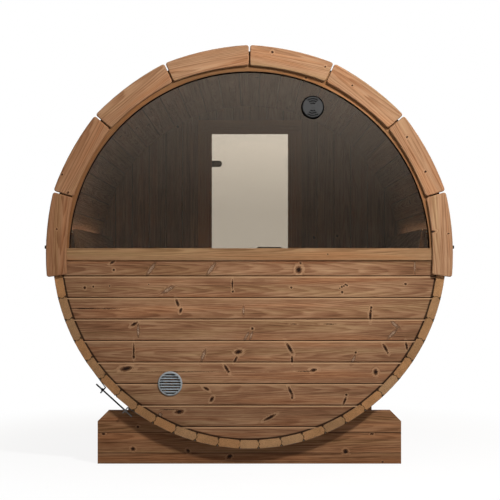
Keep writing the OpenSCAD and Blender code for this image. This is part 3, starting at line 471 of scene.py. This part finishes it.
def woodFinish(name, look, grain, knots=None, spikes=None):
    finish, start = newFinish(name)
    at = start.node("TexCoord", out="Object")
    facing = split(start.node("TexCoord", out="Normal"))
    x, y, z = split(at)
    lie = grain(x, y, z, facing)
    along, across, depth, board = (
        lie[key] for key in ("along", "across", "depth", "board"))
    luck = chances(board + 0.5)
    spot = join(along + luck[0] * 40.0, across + luck[1] * 9.0, depth + luck[2] * 7.0)

    def fine(part):
        return stretch(spot, *grainScales[part])

    # Knots, and the way the grain parts round them
    wander = dim(noise(fine("wander"), 2, out="Color"), 0.006)
    if knots:
        far = setKnots(x, z, wander, knots)
    else:
        far = chanceKnots(along, across, board, look) + lie["end"] * 9.0
    crumbs = noise(fine("crumbs"), 3, 0.65) - 0.5
    ragged = far + crumbs * 1.5
    parting = ease(far, 0.3, 3.0, 1.0, 0.0)
    if spikes:
        streaked = setKnots(x, z, wander, spikes)
        parting = larger(parting, ease(streaked, 0.3, 2.4, 1.0, 0.0))

    # Growth rings round a pith that wanders behind the board
    sway = noise(fine("sway"), 2)
    pith = across - (luck[1] - 0.5) * 0.07 + (sway - 0.5) * 0.05
    back = depth + luck[2] * 0.06 + 0.03 + along * (luck[0] - 0.5) * 0.06
    rings = span(pith, back) / look["ring"] + parting * 2.0
    rings = rings + (noise(fine("waver"), 2) - 0.5) * 1.6
    turn = rings.maths("FRACT", rings)
    late = ease(turn, 0.15, 0.85) * ease(turn, 0.88, 1.0, 1.0, 0.0)

    # Long streaks, clouds, thin dark lines and fine fibres
    streaks = noise(fine("streaks"), 3, 0.6)
    tones = noise(fine("tones"), 3, 0.6)
    fibres = noise(fine("fibres"), 3, 0.65)
    lines = noise(fine("lines"), 2)
    tone = (streaks - 0.5) * look["streaks"] + (tones - 0.5) * look["tones"] + 0.55
    tone = tone + (fibres - 0.5) - (late - 0.4) * look["rings"]
    tone = tone - ease(lines, 0.6, 0.7) * 0.2
    face = tone.node("ValToRGB", {"Fac": tone}, stops=[
        (0.08, look["dark"]), (0.5, look["middle"]), (0.95, look["light"])])

    # Red and yellow stretches of the same board
    warmth = noise(fine("warmth"), 2)
    face = blend(face, woodTints["red"], ease(warmth, 0.5, 0.68), "MULTIPLY")
    face = blend(face, woodTints["yellow"], ease(warmth, 0.34, 0.5, 1.0, 0.0),
                 "MULTIPLY")

    # End grain: freckled, with the same rings, and its own tone on each board
    freckles = noise(fine("freckles"), 4, 0.75)
    endTone = (freckles - 0.5) * 2.2 - (late - 0.4) * 0.4 + 0.5 + (tones - 0.5) * 0.6
    endFace = endTone.node("ValToRGB", {"Fac": endTone}, stops=[
        (0.1, tuple(c * 0.5 for c in look["end"])), (0.5, look["end"]),
        (0.9, tuple(c * 1.4 for c in look["end"]))])
    endFace = blend(endFace, woodTints["end"], luck[1], "MULTIPLY")
    colour = blend(face, endFace, lie["end"])

    # Knots: a dark ragged heart, browner at its edge, and a thin paler edge round it
    halo = ease(ragged, 1.1, 1.5) * ease(ragged, 1.6, 2.5, 1.0, 0.0)
    colour = blend(colour, tuple(c * 1.1 for c in look["light"]),
                   halo * knotLook["halo"])
    rust = ease(ragged, 1.05, 1.4, 1.0, 0.0)
    colour = blend(colour, tuple(c * 0.9 for c in look["dark"]),
                   rust * knotLook["rust"])
    heart = ease(ragged, 0.55, 0.85, 1.0, 0.0)
    colour = blend(colour, knotLook["heart"], heart)
    if spikes:
        frayed = streaked + crumbs * 1.8
        inside = ease(frayed, 0.75, 1.05, 1.0, 0.0)
        flecks = ease(crumbs, -0.1, 0.12)
        pale = blend(knotLook["branchDark"], knotLook["branchPale"], flecks)
        colour = blend(colour, pale, inside * knotLook["branch"])
        rim = ease(frayed, 0.85, 1.05) * ease(frayed, 1.1, 1.4, 1.0, 0.0)
        colour = blend(colour, knotLook["branchRim"], rim * knotLook["rim"])

    # Each board its own depth of colour, darker in the joints, with a painted highlight
    # on a sunlit lip
    colour = dim(colour, luck[0] * look["tint"] + (1.0 - look["tint"] / 2))
    # Painted light and shade from the grain: redder and darker where less light falls,
    # paler where more falls; the rear wall's shade also holds its boards' own tones
    if "red" in lie:
        colour = blend(colour, woodTints["deepRed"], lie["red"], "MULTIPLY")
    if "shade" in lie:
        colour = dim(colour, lie["shade"])
    # Dark joints, which on the rear wall also hold the painted shadow at the rim and on
    # the staves the painted shade in the end corners
    if lie["joint"]:
        seamAndShadow = ease(lie["joint"], 0.0006, 0.0030, 1.0 - look["joint"], 1.0)
        colour = dim(colour, seamAndShadow)
    # Painted highlight on each rear board's upper lip, where its chamfer faces the
    # light
    if "lip" in lie:
        lip = ease(lie["lip"], 0.002, 0.0045)
        lip = lip * ease(lie["lip"], 0.0065, 0.010, 1.0, 0.0)
        colour = blend(colour, tuple(c * 1.2 for c in look["light"]), lip * 0.8)
    height = fibres * 0.5 + streaks * 0.5
    surface(start, {"Base Color": colour,
                    "Roughness": ease(tone, 0.0, 1.0, 0.78, 0.62),
                    "Specular IOR Level": 0.16,
                    "Normal": bump(height, 0.0006, 0.6)})
    return finish


# Knots of the rear wall, given one by one: round ones, flattened ones and drying splits
wallKnots = [
    (-692, 1030, 60, 5, 12), (-684, 993, 0, 5, 5), (-831, 902, 0, 6, 6),
    (-788, 908, 0, 4.5, 4.5), (-705, 911, 0, 3.5, 3.5), (-507, 919, 0, 3, 3),
    (-83, 920, 0, 4, 20), (-81, 883, 0, 5, 5), (-362, 826, -20, 6, 18),
    (-345, 787, 20, 6, 11), (-830, 797, 0, 75, 2.6), (-720, 796, 0, 55, 2),
    (-580, 718, 60, 6, 16), (-583, 584, 0, 4, 30), (-583, 553, 0, 5, 8),
    (-52, 577, 75, 9, 16), (-67, 538, 30, 5, 14), (-621, 492, 80, 10, 26),
    (-112, 492, -32, 6, 20), (-103, 477, 0, 5, 5), (-310, 477, 0, 172, 1.3),
    (-215, 391, -60, 6, 14), (-187, 338, 30, 7, 13), (-352, 274, 80, 9, 18),
    (-400, 285, 0, 40, 2), (253, 993, 0, 13, 15), (262, 1027, 0, 5, 5),
    (471, 907, 0, 5, 5), (491, 919, 0, 5, 4), (481, 911, 0, 4, 4), (473, 880, 0, 5, 6),
    (460, 899, 0, 3, 3), (498, 914, 0, 4, 4), (215, 903, 0, 4.5, 4.5),
    (794, 921, 0, 6, 5), (620, 802, 0, 5, 6), (619, 787, 0, 4, 8), (616, 761, 0, 6, 20),
    (410, 718, 0, 30, 2.2), (227, 718, 0, 14, 1.6), (18, 695, 0, 6, 6),
    (207, 596, -30, 7, 26), (219, 538, 0, 5, 15), (542, 574, 0, 5, 5),
    (692, 596, -28, 6, 20), (704, 572, 0, 4, 4), (799, 609, -10, 5, 18),
    (328, 485, 80, 7, 14), (290, 479, 0, 40, 2), (643, 475, 0, 9, 13),
    (212, 376, -25, 6, 22), (219, 345, 0, 5, 6), (494, 360, 0, 5, 5),
    (486, 330, 22, 5, 18), (105, 244, 62, 6, 28),
]

# Branches that cross a board and show their pale wood with a dark edge
wallSpikes = [
    (-495, 997, 35, 8, 34), (-191, 997, 35, 8, 34), (-408, 893, 60, 8, 30),
    (-27, 787, 0, 5, 18), (-560, 685, 0, 6, 28), (-12, 655, 30, 6, 22),
    (-231, 558, 20, 7, 26), (-448, 259, 0, 8, 10), (841, 1008, 0, 4, 28),
    (740, 716, -48, 7, 24), (726, 667, 45, 7, 30), (12, 660, 16, 5, 20),
    (530, 538, 24, 6, 20),
]

# Small knots of the fascia blocks
fasciaKnots = [
    (119, 2091, 0, 6, 6), (386, 2018, 20, 4, 5), (522, 1923, 0, 4.5, 4.5),
    (798, 1662, 30, 5, 6), (891, 1488, 60, 5, 6), (929, 1186, 80, 5, 12),
    (1007, 1176, 80, 3.5, 6), (-969, 1198, 0, 4.5, 4.5), (-912, 1382, 40, 5, 7),
    (-942, 1473, 40, 4, 6),
]

cradleKnots = [
    (-742, 155, 0, 8, 5), (-566, 191, 0, 6, 5), (-591, 79, 20, 10, 8),
    (-310, 69, 40, 9, 7), (-98, 40, 60, 8, 12), (494, 66, 30, 11, 10),
    (629, 155, 0, 8, 4.5), (683, 12, 0, 5, 4),
]

paint(woodFinish("staveWood", woods["stave"], staveGrain), *[
    n for n in nodes if n.startswith("staves_")])
paint(woodFinish("rearBoardWood", woods["wall"], rearBoardGrain, wallKnots, wallSpikes),
      "rear_wall_boards")
paint(woodFinish("frontBoardWood", woods["inner"], frontBoardGrain),
      "front_wall_left", "front_wall_right", "front_wall_over_door",
      "front_wall_under_door")
paint(woodFinish("fasciaWood", woods["fascia"], fasciaGrain, fasciaKnots),
      "rear_fascia_right", "rear_fascia_left", "front_fascia_right",
      "front_fascia_left")
paint(woodFinish("sillWood", woods["sill"], sillGrain), "rear_sill")
paint(woodFinish("windowWood", woods["frame"], frameGrain), "rear_glass_frame")
paint(woodFinish("doorwayWood", woods["doorway"], doorGrain), "door_frame",
      "door_casing")
paint(woodFinish("cradleWood", woods["cradle"], cradleGrain, cradleKnots),
      "rear_cradle", "front_cradle")
paint(woodFinish("floorWood", woods["slat"], slatGrain(slats["floor"])),
      "floor_slats")
paint(woodFinish("benchWood", woods["slat"], slatGrain(slats["seat"])),
      "bench_seat_left", "bench_seat_right")
paint(woodFinish("backrestWood", woods["backrest"], slatGrain(slats["backrest"])),
      "backrest_left", "backrest_right")
paint(woodFinish("timberWood", woods["timber"], timberGrain), "floor_joists",
      "bench_supports")
print("wood: done")


# Roofing: mineral grit on felt, each tab its own shade
roofing = {"grit": 0.0016, "pale": (0.115, 0.112, 0.11), "dark": (0.022, 0.021, 0.021),
           "tab": 0.333, "course": math.radians(7.98), "first": math.radians(2.2)}


def roofFinish():
    finish, start = newFinish("roofGrit")
    at = start.node("TexCoord", out="Object")
    x, y, z = split(at)
    rise = z.maths("ARCTAN2", z - barrel["axisUp"], abs(x))
    course = floorOf((rise - roofing["first"]) / roofing["course"])
    tab = floorOf(y / roofing["tab"] + course * 0.5)
    luck = chances(course * 13.0 + tab * 3.1 + (x > 0.0) * 5.7)
    grains = at.node("TexVoronoi", {"Vector": at, "Scale": 1 / roofing["grit"]},
                     out="Color")
    grain = split(grains)[0]
    clouds = noise(stretch(at, 9, 9, 9), 3)
    tone = grain * 0.75 + (clouds - 0.5) * 0.5 + luck[0] * 0.22
    colour = blend(roofing["dark"], roofing["pale"], ease(tone, 0.1, 1.25))
    surface(start, {"Base Color": colour, "Roughness": 0.9, "Specular IOR Level": 0.25,
                    "Normal": bump(grain, 0.0008, 0.8)})
    return finish


paint(roofFinish(), "roof_underlay", "roof_shingles_left", "roof_shingles_right",
      "roof_ridge")


# Glass: lamps reach what is behind it, and each pane tints what is seen through it
glass = {"tint": (0.602, 0.568, 0.515), "doorTint": (0.645, 0.7, 0.735),
         "shade": (0.32, 0.285, 0.25), "roughness": 0.0, "index": 1.52}


def glassFinish(name, tint):
    finish, start = newFinish(name)
    pane = start.node("BsdfPrincipled", {
        "Base Color": (*tint, 1), "Roughness": glass["roughness"],
        "IOR": glass["index"], "Transmission Weight": 1.0})
    through = start.node("BsdfTransparent", {"Color": (*glass["shade"], 1)})
    shade = start.node("LightPath", out="Is Shadow Ray")
    start.node("OutputMaterial", {"Surface": start.node(
        "MixShader", {0: shade, 1: pane, 2: through})})
    return finish


paint(glassFinish("windowGlass", glass["tint"]), "rear_glass")
paint(glassFinish("doorGlass", glass["doorTint"]), "door_glass")


# Metals, plastics and rubber: one colour each with faint wear
plains = {
    "seal": {"colour": (0.004, 0.004, 0.004), "rough": 0.85, "metal": 0.0, "grain": 300,
             "shine": 0.1},
    "ventPlastic": {"colour": (0.043, 0.0445, 0.046), "rough": 0.5, "metal": 0.0,
                    "grain": 700, "shine": 0.4},
    "ventMetal": {"colour": (0.29, 0.325, 0.35), "rough": 0.45, "metal": 0.25,
                  "grain": 500, "shine": 0.5},
    "hingeMetal": {"colour": (0.055, 0.053, 0.05), "rough": 0.38, "metal": 0.8,
                   "grain": 600, "shine": 0.5},
    "bandSteel": {"colour": (0.16, 0.16, 0.165), "rough": 0.35, "metal": 0.9,
                  "grain": 400, "shine": 0.5},
    "sheetBlack": {"colour": (0.008, 0.008, 0.008), "rough": 0.75, "metal": 0.0,
                   "grain": 250, "shine": 0.15},
}


# Vents painted dark inside as shade: the glass vent darkens with depth into its slots,
# and the wall vent is painted black between its blades' front lips and behind them
ventShadowDark = 0.02
glassVent = {"face": -0.8998, "inside": -0.8975}
louvre = {"pitch": 0.0136, "lip": 0.0060, "soft": 0.0006, "holeRadius": 0.0540,
          "front": -0.889}


def ventShade(x, y, z):
    return ease(y, glassVent["face"], glassVent["inside"], 1.0, ventShadowDark)


# Painted shadow in the slots between the louvre blades and behind their lips
def louvreShade(x, y, z):
    low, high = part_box("wall_vent")
    middleX, middleZ = (low[0] + high[0]) / 2, (low[2] + high[2]) / 2
    row = (z - middleZ) / louvre["pitch"]
    lip = abs(row - floorOf(row + 0.5)) * louvre["pitch"]
    inside = span(x - middleX, z - middleZ) < louvre["holeRadius"]
    gap = ease(lip, louvre["lip"] / 2 - louvre["soft"],
               louvre["lip"] / 2 + louvre["soft"], 1.0, ventShadowDark)
    return (1.0 - inside + inside * gap) * (y < louvre["front"])


# Darkened nearly to black where the tensioner rod stands off the band, apart from its
# lower end
rod = {"lean": math.radians(-132.35), "standsOff": 1.004, "blackTo": 0.06,
       "brightFrom": 0.075, "black": 0.05}


def rodShade(x, y, z):
    lean = rod["lean"]
    up = z - barrel["axisUp"]
    out = x * math.cos(lean) + up * math.sin(lean)
    down = x * -math.sin(lean) + up * math.cos(lean)
    return larger(1.0 - (out > rod["standsOff"]),
                  ease(down, rod["blackTo"], rod["brightFrom"], rod["black"], 1.0))


def plainFinish(name, shade=None):
    look = plains[name]
    finish, start = newFinish(name)
    at = start.node("TexCoord", out="Object")
    grit = noise(stretch(at, look["grain"], look["grain"], look["grain"]), 2)
    smears = noise(stretch(at, 24, 24, 24), 3, 0.6)
    tone = (grit - 0.5) * 0.25 + (smears - 0.5) * 0.5 + 1.0
    if shade:
        tone = tone * shade(*split(at))
    surface(start, {"Base Color": dim(look["colour"], tone),
                    "Roughness": ease(smears, 0.2, 0.8, look["rough"] - 0.08,
                                      look["rough"] + 0.1),
                    "Metallic": look["metal"], "Specular IOR Level": look["shine"],
                    "Normal": bump(grit, 0.0002, 0.4)})
    return finish


sealFinish = plainFinish("seal")
paint(sealFinish, "glass_seal")
paint(plainFinish("ventPlastic", ventShade), "glass_vent")
paint(plainFinish("ventMetal", louvreShade), "wall_vent")
paint(plainFinish("hingeMetal"), "door_hinge_clips", "door_hinge_plates",
      "door_handles")
paint(plainFinish("bandSteel", rodShade), "rear_band", "front_band")
sheetFinish = plainFinish("sheetBlack")
paint(sheetFinish, "eaves_flashing")


# The lamps behind the backrests shine at the staves only, and fade before the front
lightStrip = {"pitch": 0.017, "fade": (0.48, 0.72), "power": 6.2,
              "cover": (0.16, 0.13, 0.1), "between": (1.0, 0.78, 0.55),
              "dot": (1.0, 0.82, 0.6)}


def lightFinish():
    finish, start = newFinish("lightCover")
    x, y, z = split(start.node("TexCoord", out="Object"))
    outward = split(start.node("TexCoord", out="Normal"))[0] * x > 0.0
    place = y / lightStrip["pitch"]
    dots = ease(abs(place.maths("FRACT", place) - 0.5), 0.1, 0.45, 1.0, 0.5)
    lit = dots * outward * ease(y, *lightStrip["fade"], 1.0, 0.0)
    colour = dim(blend(lightStrip["between"], lightStrip["dot"], dots), lit)
    surface(start, {"Base Color": (*lightStrip["cover"], 1), "Roughness": 0.5,
                    "Emission Color": colour, "Emission Strength": lightStrip["power"]})
    return finish


paint(lightFinish(), "light_strips")
print("finishes: done")


# Added pieces: each is modelled at its place and rides on the building
smoothUnder = math.radians(35)


def addPiece(piece, name, finish):
    piece.name = name
    piece.data.name = name
    bpy.ops.object.transform_apply(location=True, rotation=True, scale=True)
    bpy.ops.object.shade_smooth_by_angle(angle=smoothUnder)
    piece.data.materials.clear()
    piece.data.materials.append(finish)
    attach(piece, "cabin")
    piece.select_set(False)


# Flat rubber ring round the vent, on the glass; its black also stands in for the shade
# in the gap under the vent's rim
gasket = {"width": 0.0062, "thick": 0.0042, "clear": 0.0003, "turns": 72, "sides": 12}


def buildGasket():
    low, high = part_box("glass_vent")
    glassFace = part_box("rear_glass")[0][1]
    radius = (high[0] - low[0]) / 2 + gasket["clear"] + gasket["width"] / 2
    bpy.ops.object.select_all(action="DESELECT")
    bpy.ops.mesh.primitive_torus_add(
        major_radius=radius, minor_radius=gasket["width"] / 2,
        major_segments=gasket["turns"], minor_segments=gasket["sides"],
        location=((low[0] + high[0]) / 2,
                  glassFace - gasket["thick"] / 2 - gasket["clear"],
                  (low[2] + high[2]) / 2), rotation=(math.pi / 2, 0, 0))
    piece = bpy.context.object
    bpy.ops.object.mode_set(mode="EDIT")
    bpy.ops.mesh.select_all(action="SELECT")
    bpy.ops.transform.resize(value=(1, gasket["thick"] / gasket["width"], 1))
    bpy.ops.object.mode_set(mode="OBJECT")
    addPiece(piece, "vent_gasket", sealFinish)


buildGasket()


# Folded hem along each eaves flashing
hem = {"across": 0.0092, "up": 0.017, "corner": 0.0028, "inset": 0.0005, "rise": 0.004}


def buildHem(side):
    low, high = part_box("eaves_flashing")
    bpy.ops.object.select_all(action="DESELECT")
    bpy.ops.mesh.primitive_cube_add(
        size=1, location=(side * (high[0] - hem["inset"] - hem["across"] / 2), 0,
                          low[2] + hem["rise"]),
        scale=(hem["across"], high[1] - low[1] - 2 * hem["inset"], hem["up"]))
    piece = bpy.context.object
    bpy.ops.object.transform_apply(location=True, rotation=True, scale=True)
    bpy.ops.object.mode_set(mode="EDIT")
    bpy.ops.mesh.select_all(action="SELECT")
    bpy.ops.mesh.bevel(offset=hem["corner"], segments=3, affect="EDGES")
    bpy.ops.object.mode_set(mode="OBJECT")
    addPiece(piece, "flashing_hem_" + ("right" if side > 0 else "left"), sheetFinish)


buildHem(1)
buildHem(-1)
print("pieces: done")


# Camera, level with the sill and square to the window end
camera = {"at": (0.0125, -7.46, 0.990), "lens": 93.34, "shift": (-0.0037, 0.0396)}
eye = bpy.data.cameras.new("eye")
eye.lens = camera["lens"]
eye.sensor_width = 36
eye.shift_x, eye.shift_y = camera["shift"]
eyeObject = bpy.data.objects.new("eye", eye)
eyeObject.location = camera["at"]
eyeObject.rotation_euler = (math.pi / 2, 0, 0)
bpy.context.scene.collection.objects.link(eyeObject)
bpy.context.scene.camera = eyeObject
bpy.context.scene.view_settings.view_transform = "Standard"

# Studio light: a small lamp high on the right that casts the shadows, a faint wide one
# on the left, and the room
aimedAt = Vector((0, 0, 1.0))
lamps = {
    "key": {"at": (1.6, -3.6, 3.6), "size": 0.5, "power": 203},
    "fill": {"at": (-3.2, -7.0, 2.6), "size": 4.0, "power": 8},
}
for name, lamp in lamps.items():
    light = bpy.data.lights.new(name, "AREA")
    light.shape = "DISK"
    light.size = lamp["size"]
    light.energy = lamp["power"]
    lightObject = bpy.data.objects.new(name, light)
    lightObject.location = lamp["at"]
    lightObject.visible_glossy = False
    aim = aimedAt - Vector(lamp["at"])
    lightObject.rotation_euler = aim.to_track_quat("-Z", "Y").to_euler()
    bpy.context.scene.collection.objects.link(lightObject)

room = {"low": 0.03, "high": 0.16, "behind": 0.95, "glow": (1.0, 0.85, 0.72),
        "sheen": (1.0, 0.86, 0.73), "sheenRise": (0.03, 0.16), "sheenLevel": 1.2,
        "sheenSide": (-0.15, 0.13), "sheenLeft": 0.62}


# White where it is seen, dim where it lights, and a warm rising sheen in the glass
def makeRoom():
    world = bpy.data.worlds.new("room")
    bpy.context.scene.world = world
    world.use_nodes = True
    world.node_tree.nodes.clear()
    start = Wire(world.node_tree)
    toward = split(start.node("TexCoord", out="Generated"))
    rise = ease(toward[2], 0.0, 0.5, room["low"], room["high"])
    behind = ease(toward[1], -0.1, 0.5, 0.0, 1.0)
    level = larger(rise, behind * room["behind"])
    mirrored = start.node("LightPath", out="Is Glossy Ray")
    sheen = ease(toward[2], *room["sheenRise"], 0.0, room["sheenLevel"])
    sheen = sheen * ease(toward[0], *room["sheenSide"], room["sheenLeft"], 1.0)
    sheen = larger(sheen, rise) * mirrored
    seen = larger(start.node("LightPath", out="Is Camera Ray"),
                  start.node("LightPath", out="Is Transmission Ray"))
    seen = seen * (start.node("LightPath", out="Diffuse Depth") < 0.5)
    level = level * (1.0 - larger(seen, mirrored)) + seen
    colour = blend(blend(room["glow"], (1.0, 1.0, 1.0), seen), room["sheen"], mirrored)
    start.node("OutputWorld", {"Surface": start.node(
        "Background", {"Color": colour, "Strength": level + sheen})})


makeRoom()

# Floor: pale, and white to the camera apart from a light shadow
studioFloor = {"size": 80, "lit": (0.5, 0.5, 0.5), "seen": (0.96, 0.96, 0.96),
               "fade": (1.2, 2.4), "white": 0.88}
bpy.ops.object.select_all(action="DESELECT")
bpy.ops.mesh.primitive_plane_add(size=studioFloor["size"], location=(0, 0, 0))
floorPlane = bpy.context.object
floorPlane.name = "studioFloor"


def floorFinish():
    finish, start = newFinish("studioFloor")
    x, y, z = split(start.node("TexCoord", out="Object"))
    seen = start.node("LightPath", out="Is Camera Ray")
    matt = start.node("BsdfDiffuse", {
        "Color": blend(studioFloor["lit"], studioFloor["seen"], seen)})
    white = start.node("Emission", {"Color": (1, 1, 1, 1), "Strength": 1.0})
    clear = seen * ease(span(x, y), *studioFloor["fade"], studioFloor["white"], 1.0)
    start.node("OutputMaterial", {"Surface": start.node(
        "MixShader", {0: clear, 1: matt, 2: white})})
    return finish


floorPlane.data.materials.append(floorFinish())
print("stage: done")
